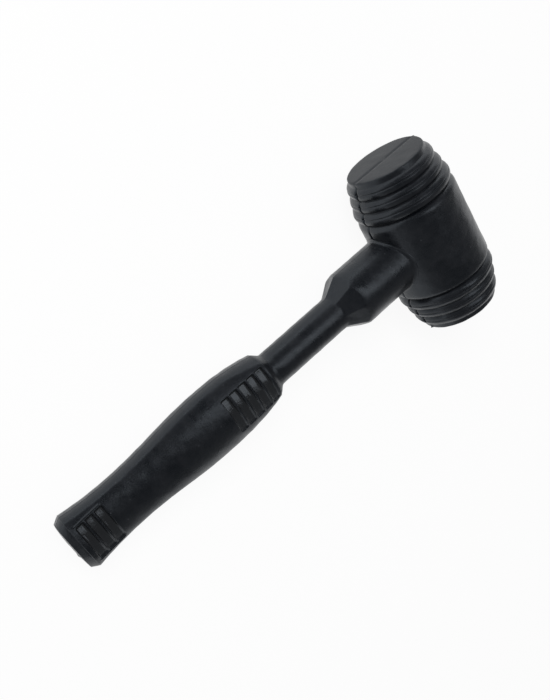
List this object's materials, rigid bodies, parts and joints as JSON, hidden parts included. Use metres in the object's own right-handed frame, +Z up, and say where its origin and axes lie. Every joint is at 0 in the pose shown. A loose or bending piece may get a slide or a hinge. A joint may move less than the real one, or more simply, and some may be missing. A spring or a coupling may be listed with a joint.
{
  "type": "soft face hammer",
  "caption": "Soft face dead-blow hammer: one black ribbed moulding forms head, neck and oval pocketed grip over a closed canister of sliding shot and a stiffening rod.",
  "frame": {"origin": "middle of the lying hammer's outline, on the surface that it lies on", "axes": "+X from the butt to the head, +Y along the head towards the upper striking face, +Z up"},
  "size_m": [0.2893, 0.1034, 0.06],
  "materials": {
    "black_moulding": "semi-gloss moulded skin, slightly mottled",
    "canister_steel": "drawn tube",
    "cap_steel": "pressed sheet",
    "shot_steel": "rolled shot",
    "rod_steel": "cold-drawn bar",
    "pin_steel": "ground pin",
    "spacer_moulding": "matt moulded"
  },
  "bodies": {
    "hammer": {"moulded_jacket": "black_moulding", "canister_tube": "canister_steel", "canister_cap_upper": "cap_steel", "canister_cap_lower": "cap_steel", "rod_socket": "rod_steel", "socket_pin": "pin_steel", "handle_rod": "rod_steel", "front_spacer": "spacer_moulding", "rear_spacer": "spacer_moulding"},
    "shot": {"shot_charge": "shot_steel"}
  },
  "joints": [
    {"name": "shot_slide", "type": "slide", "parent": "hammer", "child": "shot", "axis": [0, 1, 0], "range_m": [-0.0053, 0.0053]}
  ]
}
